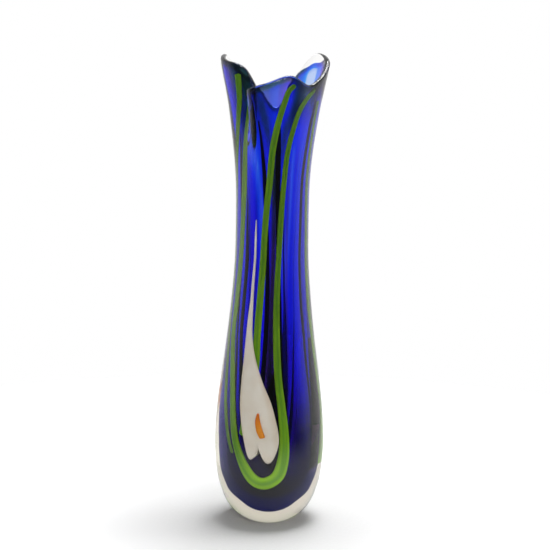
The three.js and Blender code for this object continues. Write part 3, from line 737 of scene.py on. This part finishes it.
def spathe_mesh(form, name, tip_azimuth):
    """White flower: a long leaf that swells to two lobes with a notch between.

    Row r runs from the tip (0) to the notch (1), and c = cos t goes from edge (-1) to edge (1). The
    face stands up by sin t to the power 0.7, and the back is level. The lobes hang down by
    sin(pi |c|) to the power 0.7, times a square that grows over the rows below their start, and
    the left one hangs less.
    """
    sizes = form.sizes
    down = (np.linspace(0, 1, FLOWER_ROWS) ** ROW_CROWDING)[:, None]
    angle = np.linspace(0, 2 * math.pi, FLOWER_SIDES, endpoint=False)
    across = np.cos(angle)
    z = flower_tip_height(form) - sizes.spathe_length * down
    breadth = smooth_table(SPATHE_SHARES, down, 2)
    radius = form.outside_radius(z) - form.gather_depth(z)
    turn = np.degrees(sizes.spathe_half_width * breadth / radius)
    growth = np.maximum(0, (down - LOBE_START_SHARE) / (1 - LOBE_START_SHARE)) ** 2
    skewed = across + NOTCH_SHARE * growth * (1 - np.abs(across))
    azimuth = tip_azimuth + smooth_table(SPATHE_SHARES, down, 1) + turn * skewed
    lobe = np.sin(math.pi * np.abs(across)) ** FLOWER_ROUNDNESS
    lobe = lobe * np.where(across < 0, LEFT_LOBE_SHARE, 1.0)
    heights = z - sizes.spathe_lobe_drop * lobe * growth
    crown = sizes.spathe_height * np.minimum(1, TIP_CROWN_SHARE + breadth)
    face = crown * np.clip(np.sin(angle), 0, 1) ** FLOWER_ROUNDNESS
    rings = form.inlay_point(azimuth, heights, sizes.stem_height + sizes.inlay_gap + face)
    return inlay_surface(name, rings, (down, across, breadth))


def add_node(owner, kind, inputs=None, **settings):
    """Adds a shader node with its settings, and sets or links its inputs by name or number.

    A node that is given as an input stands for the first of its outputs that is in use.
    """
    tree = owner.node_tree
    node = tree.nodes.new(kind)
    for key, value in settings.items():
        setattr(node, key, value)
    for key, value in (inputs or {}).items():
        if isinstance(value, bpy.types.Node):
            value = next(socket for socket in value.outputs if socket.enabled)
        if isinstance(value, bpy.types.NodeSocket):
            tree.links.new(value, node.inputs[key])
        else:
            node.inputs[key].default_value = value
    return node


def with_nodes(owner):
    """Gives a new material or world an empty node tree."""
    owner.use_nodes = True
    owner.node_tree.nodes.clear()
    return owner


def attribute_of(material, name):
    """The three numbers of an attribute of the mesh, as a vector and as its parts X, Y and Z."""
    vector = add_node(material, "ShaderNodeAttribute", attribute_name=name).outputs["Vector"]
    return vector, add_node(material, "ShaderNodeSeparateXYZ", {"Vector": vector}).outputs


def rgba(colour):
    """A colour that covers fully."""
    return (*colour, 1.0)


def finish_clear(material, colour, way, skin):
    """Ends a clear glass: a polished skin, and a volume that leaves a colour of white after a way.

    Beer's law gives an exponent of -log(colour) / way for each of red, green and blue. The
    densest of them is the density, and the others are shares of it.
    """
    exponent = -np.log(np.clip(colour, 1e-4, 0.999)) / way
    density = float(exponent.max())
    volume = add_node(material, "ShaderNodeVolumeAbsorption", {
        "Color": rgba(1 - exponent / density), "Density": density,
    })
    shader = add_node(material, "ShaderNodeBsdfPrincipled", {
        "Roughness": 0.0, "Transmission Weight": 1.0, **skin,
    })
    add_node(material, "ShaderNodeOutputMaterial", {"Surface": shader, "Volume": volume})
    return material


def finish_inlay(material, colour):
    """Ends an inlay: soft opal without gloss, because it is fused to the clear glass over it."""
    shader = add_node(material, "ShaderNodeBsdfPrincipled", {
        "Base Color": colour, "Roughness": 0.5, "IOR": 1.0, "Specular IOR Level": 0.0,
    })
    add_node(material, "ShaderNodeOutputMaterial", {"Surface": shader})
    return material


def opal_colour(material, noise, across, edges, full, light, deep):
    """Runs from a light to a deep colour by noise, and more by the way aside of the middle.

    The edges map that way to what it adds. A sum up to 0.4 shows the light colour alone, and a
    full one the deep colour.
    """
    aside = add_node(material, "ShaderNodeMath", {0: across}, operation="ABSOLUTE")
    more = add_node(material, "ShaderNodeMapRange", {"Value": aside, **edges})
    total = add_node(material, "ShaderNodeMath", {0: noise, 1: more}, operation="ADD")
    share = add_node(material, "ShaderNodeMapRange", {"Value": total, "From Min": 0.4, "From Max": full})
    return add_node(material, "ShaderNodeMix", {
        "Factor": share, "A": rgba(light), "B": rgba(deep),
    }, data_type="RGBA")


def drifting(material, value, swing, noise):
    """Lets a value drift by up to a swing either way with noise, within 0 to 1."""
    drift = add_node(material, "ShaderNodeMapRange", {
        "Value": noise, "From Min": 0.3, "From Max": 0.7, "To Min": -swing, "To Max": swing,
    })
    return add_node(material, "ShaderNodeMath", {0: value, 1: drift}, operation="ADD", use_clamp=True)


def clear_glass_material(colours):
    """Soda crystal, blown and fire polished: bright, smooth, faintly straw where it is thick."""
    material = with_nodes(bpy.data.materials.new("clear_crystal_fire_polished"))
    place = add_node(material, "ShaderNodeTexCoord").outputs["Object"]
    # Tool marks and chill waves are about 14 mm apart and far wider than they are deep
    waves = add_node(material, "ShaderNodeTexNoise", {"Vector": place, "Scale": 70.0, "Detail": 1.0})
    bump = add_node(material, "ShaderNodeBump", {"Height": waves, "Strength": 0.12, "Distance": 0.0004})
    skin = {"Base Color": (1, 1, 1, 1), "IOR": 1.5, "Normal": bump}
    return finish_clear(material, colours.clear_depth, CLEAR_TINT_WAY, skin)


def cobalt_material(colours):
    """Cobalt glass cased hot in clear: no skin of its own, a colour that deepens with its thickness.

    Each crossing of its surface tints the light by its density, along a violet and an azure ramp
    that mix by its hue. The density and hue carry its streaks, among them painted shade and light.
    Its volume adds a little blue where it is thick.
    """
    material = with_nodes(bpy.data.materials.new("cobalt_glass_cased"))
    flow = attribute_of(material, "flow")[0]
    # Density and hue hold the streaks, among them painted bands of shade and light
    density, hue, _ = attribute_of(material, "cobalt_streaks_and_shading")[1]
    # Fine streaks are drawn out along the height: about 4 mm across and 90 mm long
    drawn_out = add_node(material, "ShaderNodeMapping", {"Vector": flow, "Scale": (6.0, 6.0, 12.0)})
    streaks = add_node(material, "ShaderNodeTexNoise", {"Vector": drawn_out, "Scale": 1.0, "Detail": 1.0})
    # The two melts mix in broader bands, about 15 mm across and 120 mm long
    stretch = {"Scale": (2.6, 2.6, 8.0), "Location": (5, 0, 0)}
    broad = add_node(material, "ShaderNodeMapping", {"Vector": flow, **stretch})
    bands = add_node(material, "ShaderNodeTexNoise", {"Vector": broad, "Scale": 1.0, "Detail": 2.0})
    density = drifting(material, density, 0.1, streaks)
    melts = {}
    for key, column in (("A", 1), ("B", 2)):
        melts[key] = add_node(material, "ShaderNodeValToRGB", {"Fac": density})
        elements = melts[key].color_ramp.elements
        while len(elements) < len(COBALT_TINTS):
            elements.new(1.0)
        for element, row in zip(elements, COBALT_TINTS):
            element.position = row[0]
            element.color = rgba(linear_colour(row[column]))
    hue = drifting(material, hue, 0.3, bands)
    tint = add_node(material, "ShaderNodeMix", {"Factor": hue, **melts}, data_type="RGBA")
    skin = {"Base Color": tint, "IOR": 1.0}
    return finish_clear(material, colours.cobalt_depth, COBALT_TINT_WAY, skin)


def green_material(colours):
    """Opal green cane, trailed hot: even and soft, with threads, and a core deeper than its edges.

    Where the cane is drawn thin, under 4.4 mm half width, the dark behind shows through.
    """
    material = with_nodes(bpy.data.materials.new("green_opal_glass_trail"))
    flow, (_, across, half_width) = attribute_of(material, "flow")
    # Threads of the cane: about 2 mm across and 40 mm long
    drawn_out = add_node(material, "ShaderNodeMapping", {"Vector": flow, "Scale": (25.0, 2.2, 0.0)})
    threads = add_node(material, "ShaderNodeTexNoise", {"Vector": drawn_out, "Scale": 1.0, "Detail": 3.0})
    core = {"From Min": 0.1, "From Max": 0.8, "To Min": 0.35, "To Max": 0.0}
    colour = opal_colour(material, threads, across, core, 1.15, colours.green, colours.green_deep)
    body = add_node(material, "ShaderNodeMapRange", {
        "Value": half_width, "From Min": 0.0018, "From Max": 0.0044, "To Min": 0.45,
    })
    shown = add_node(material, "ShaderNodeVectorMath", {0: colour, "Scale": body}, operation="SCALE")
    return finish_inlay(material, shown)


def white_material(colours):
    """White opal glass, pressed flat on the cobalt: creamy, thinner and greyer towards its edges."""
    material = with_nodes(bpy.data.materials.new("white_opal_glass_flower"))
    across = attribute_of(material, "flow")[1]["Y"]
    place = add_node(material, "ShaderNodeTexCoord").outputs["Object"]
    # Clouds of thicker and thinner opal, about 12 mm across
    clouds = add_node(material, "ShaderNodeTexNoise", {"Vector": place, "Scale": 80.0, "Detail": 3.0})
    rim = {"From Min": 0.7, "To Max": 0.6}
    colour = opal_colour(material, clouds, across, rim, 1.1, colours.white, colours.white_shade)
    return finish_inlay(material, colour)


def orange_material(colours):
    """Orange opal glass, a short drawn bit: hot orange, redder over the upper 12 mm."""
    material = with_nodes(bpy.data.materials.new("orange_opal_glass_spadix"))
    travelled = attribute_of(material, "flow")[1]["X"]
    tip = add_node(material, "ShaderNodeMapRange", {
        "Value": travelled, "From Max": 0.012, "To Min": 1.0, "To Max": 0.0,
    })
    colour = add_node(material, "ShaderNodeMix", {
        "Factor": tip, "A": rgba(colours.orange), "B": rgba(colours.orange_deep),
    }, data_type="RGBA")
    return finish_inlay(material, colour)


def backdrop_level(owner, heading):
    """Level of the room at a heading along Y: dark cards in front (-Y), white behind."""
    return add_node(owner, "ShaderNodeMapRange", {
        "Value": heading, "From Min": -0.6, "From Max": 0.2, "To Min": 0.08,
    }, interpolation_type="SMOOTHSTEP")


def paper_material(colours):
    """White background paper, matt and even, with a faint tooth that is too fine to show here.

    Away from the shadow it glows out to the white of the background. What shows of it in and through
    the glass has the room's light painted on: its colour and glow run out softly to the room's level,
    dark in front and white behind.
    """
    material = with_nodes(bpy.data.materials.new("white_background_paper"))
    place = add_node(material, "ShaderNodeTexCoord").outputs["Object"]
    tooth = add_node(material, "ShaderNodeTexNoise", {"Vector": place, "Scale": 400.0, "Detail": 2.0})
    body = add_node(material, "ShaderNodeMix", {
        "Factor": tooth, "A": rgba(colours.paper), "B": (1, 1, 1, 1),
    }, data_type="RGBA")
    rays = add_node(material, "ShaderNodeLightPath").outputs
    far = add_node(material, "ShaderNodeVectorMath", {0: place}, operation="LENGTH")
    shares = []
    for kind, start, end, most in (("Is Camera Ray", 0.05, 0.2, 0.3), ("Is Glossy Ray", 0.06, 0.45, 1.0)):
        either = {0: rays[kind], 1: rays["Is Transmission Ray"]}
        seen = add_node(material, "ShaderNodeMath", either, operation="MAXIMUM")
        spread = add_node(material, "ShaderNodeMapRange", {
            "Value": far, "From Min": start, "From Max": end, "To Max": most,
        }, interpolation_type="SMOOTHSTEP")
        shares.append(add_node(material, "ShaderNodeMath", {0: seen, 1: spread}, operation="MULTIPLY"))
    glow, painted_room_share = shares
    way = add_node(material, "ShaderNodeVectorMath", {0: place}, operation="NORMALIZE")
    heading = add_node(material, "ShaderNodeSeparateXYZ", {"Vector": way}).outputs["Y"]
    room = backdrop_level(material, heading)
    # Painted reflection: for rays in and through the glass the paper takes the room's light level
    colour, glow_colour = [
        add_node(material, "ShaderNodeMix", {"Factor": painted_room_share, "A": near, "B": room}, data_type="RGBA")
        for near in (body, (1, 1, 1, 1))
    ]
    shader = add_node(material, "ShaderNodeBsdfPrincipled", {
        "Base Color": colour, "Roughness": 0.9, "Specular IOR Level": 0.0,
        "Emission Color": glow_colour, "Emission Strength": glow,
    })
    add_node(material, "ShaderNodeOutputMaterial", {"Surface": shader})
    return material


def set_world(scene):
    """White for the camera, and a studio for the rest.

    Glass shows white behind it, some white above and dark cards in front. Light that comes to the
    inlays and the floor through the glass is white all round, and other light comes from a dim
    ceiling.
    """
    world = with_nodes(bpy.data.worlds.new("studio"))
    scene.world = world
    way = add_node(world, "ShaderNodeTexCoord").outputs["Generated"]
    _, heading, height = add_node(world, "ShaderNodeSeparateXYZ", {"Vector": way}).outputs
    rays = add_node(world, "ShaderNodeLightPath").outputs
    above, overhead = [
        add_node(world, "ShaderNodeMapRange", {
            "Value": height, "From Min": low, "From Max": high, "To Max": most,
        }, interpolation_type="SMOOTHSTEP")
        for low, high, most in ((0.3, 0.9, 0.7), (0.1, 0.8, 0.25))
    ]
    behind = backdrop_level(world, heading)
    shown = add_node(world, "ShaderNodeMath", {0: behind, 1: above}, operation="MAXIMUM")
    through = rays["Is Transmission Ray"]
    screens = add_node(world, "ShaderNodeMath", {0: overhead, 1: through}, operation="MAXIMUM")
    room = add_node(world, "ShaderNodeMix", {"Factor": rays["Diffuse Depth"], "A": shown, "B": screens})
    level = add_node(world, "ShaderNodeMath", {0: room, 1: rays["Is Camera Ray"]}, operation="MAXIMUM")
    background = add_node(world, "ShaderNodeBackground", {"Color": (1, 1, 1, 1), "Strength": level})
    add_node(world, "ShaderNodeOutputWorld", {"Surface": background})


def add_lamps(scene):
    """Two softboxes: one above, behind and to the right, and a weaker one in front on the right."""
    for name, (place, width, power) in SOFTBOXES.items():
        lamp = bpy.data.lights.new(name, "AREA")
        lamp.shape = "SQUARE"
        lamp.size = width
        lamp.energy = power
        holder = bpy.data.objects.new(name, lamp)
        holder.location = place
        aim = Vector(SOFTBOX_TARGET) - Vector(place)
        holder.rotation_mode = "QUATERNION"
        holder.rotation_quaternion = aim.to_track_quat("-Z", "Y")
        scene.collection.objects.link(holder)


def add_camera(scene):
    """Camera at the photograph's angle: 0.95 m in front, 0.3 m up, looking down 7 degrees."""
    data = bpy.data.cameras.new("camera")
    data.sensor_width = SENSOR_WIDTH
    data.lens = SENSOR_WIDTH * FOCAL_PIXELS / IMAGE_PIXELS
    camera = bpy.data.objects.new("camera", data)
    camera.location = CAMERA_PLACE
    turns = (90 - PITCH_DEGREES, ROLL_DEGREES, YAW_DEGREES)
    camera.rotation_euler = [math.radians(turn) for turn in turns]
    scene.collection.objects.link(camera)
    scene.camera = camera


class VASE_OT_clear_casing(bpy.types.Operator):
    """Builds the clear casing with its foot, lip and hollow"""

    bl_idname = "vase.clear_casing"
    bl_label = "Clear Casing"

    def execute(self, context):
        form = BlownForm(context.scene.vase_sizes)
        material = clear_glass_material(context.scene.vase_colours)
        add_piece("clear_casing", casing_mesh(form), material)
        return {"FINISHED"}


class VASE_OT_cobalt_gather(bpy.types.Operator):
    """Builds the cobalt gather that lines the hollow"""

    bl_idname = "vase.cobalt_gather"
    bl_label = "Cobalt Gather"

    def execute(self, context):
        form = BlownForm(context.scene.vase_sizes)
        material = cobalt_material(context.scene.vase_colours)
        add_piece("cobalt_gather", gather_mesh(form), material)
        return {"FINISHED"}


class VASE_OT_green_trails(bpy.types.Operator):
    """Lays the green loops, stems and the left trail on the cobalt"""

    bl_idname = "vase.green_trails"
    bl_label = "Green Trails"

    def execute(self, context):
        sizes = context.scene.vase_sizes
        form = BlownForm(sizes)
        material = green_material(context.scene.vase_colours)
        loop = (sizes.loop_half_width, sizes.loop_height, LOOP_STEPS)
        stem = (sizes.stem_half_width, sizes.stem_height, STEM_STEPS)
        strand = (sizes.strand_half_width, sizes.strand_height, STEM_STEPS)
        front_foot = on_flower(form, STEM_FOOT_SHARES, FRONT_TIP_AZIMUTH)
        back_foot = on_flower(form, STEM_FOOT_SHARES, BACK_TIP_AZIMUTH)
        trails = {
            "front_loop_trail": (on_height(form, FRONT_LOOP_SHARES), *loop),
            "back_loop_trail": (on_height(form, BACK_LOOP_SHARES), *loop),
            "front_stem_trail": (on_height(form, FRONT_STEM_SHARES) + front_foot, *stem),
            "back_stem_trail": (on_height(form, BACK_STEM_SHARES) + back_foot, *stem),
            "left_trail": (on_height(form, LEFT_TRAIL_SHARES), *strand),
        }
        for node, shape in trails.items():
            add_piece(node, trail_mesh(form, node, *shape), material)
        return {"FINISHED"}


class VASE_OT_flowers(bpy.types.Operator):
    """Lays the white spathes and their orange spadices over the stems"""

    bl_idname = "vase.flowers"
    bl_label = "Flowers"

    def execute(self, context):
        sizes = context.scene.vase_sizes
        form = BlownForm(sizes)
        white = white_material(context.scene.vase_colours)
        orange = orange_material(context.scene.vase_colours)
        seat = sizes.stem_height + sizes.spathe_height + 2 * sizes.inlay_gap
        spadix = (sizes.spadix_half_width, sizes.spadix_height, SPADIX_STEPS, seat)
        for side, tip_azimuth in (("front", FRONT_TIP_AZIMUTH), ("back", BACK_TIP_AZIMUTH)):
            node = side + "_spathe"
            add_piece(node, spathe_mesh(form, node, tip_azimuth), white)
            node = side + "_spadix"
            route = on_flower(form, SPADIX_SHARES, tip_azimuth)
            add_piece(node, trail_mesh(form, node, route, *spadix), orange)
        return {"FINISHED"}


class VASE_OT_stage(bpy.types.Operator):
    """Sets the white floor, the soft light and the camera at the photograph's angle"""

    bl_idname = "vase.stage"
    bl_label = "Stage"

    def execute(self, context):
        scene = context.scene
        angles = np.linspace(0, FULL_TURN, FLOOR_SIDES, endpoint=False)
        edge = np.concatenate([FLOOR_RADIUS * direction(angles), np.zeros((FLOOR_SIDES, 1))], axis=1)
        floor_mesh = bpy.data.meshes.new("floor")
        floor_mesh.from_pydata(edge, [], [list(range(FLOOR_SIDES))])
        floor_mesh.materials.append(paper_material(scene.vase_colours))
        floor = bpy.data.objects.new("floor", floor_mesh)
        floor.location.z = -FLOOR_DROP
        scene.collection.objects.link(floor)
        set_world(scene)
        add_lamps(scene)
        add_camera(scene)
        scene.view_settings.view_transform = "Standard"
        scene.cycles.max_bounces = GLASS_BOUNCES
        scene.cycles.transmission_bounces = GLASS_BOUNCES
        return {"FINISHED"}


class VASE_PT_panel(bpy.types.Panel):
    """Lists the pieces of the vase"""

    bl_idname = "VASE_PT_panel"
    bl_label = "Cased Glass Vase"
    bl_space_type = "VIEW_3D"
    bl_region_type = "UI"
    bl_category = "Vase"

    def draw(self, context):
        for operator in PIECE_OPERATORS:
            self.layout.operator(operator.bl_idname)
        for group in (context.scene.vase_sizes, context.scene.vase_colours):
            column = self.layout.column(align=True)
            for name in group.__annotations__:
                column.prop(group, name)


PIECE_OPERATORS = (
    VASE_OT_clear_casing, VASE_OT_cobalt_gather, VASE_OT_green_trails, VASE_OT_flowers, VASE_OT_stage,
)
CLASSES = (VaseSizes, VaseColours, *PIECE_OPERATORS, VASE_PT_panel)


def register():
    for item in CLASSES:
        bpy.utils.register_class(item)
    bpy.types.Scene.vase_sizes = bpy.props.PointerProperty(type=VaseSizes)
    bpy.types.Scene.vase_colours = bpy.props.PointerProperty(type=VaseColours)


def unregister():
    del bpy.types.Scene.vase_colours
    del bpy.types.Scene.vase_sizes
    for item in reversed(CLASSES):
        bpy.utils.unregister_class(item)


def main():
    register()
    bpy.ops.vase.clear_casing()
    bpy.ops.vase.cobalt_gather()
    bpy.ops.vase.green_trails()
    bpy.ops.vase.flowers()
    bpy.ops.vase.stage()
    bpy.context.view_layer.update()


if __name__ == "__main__":
    main()
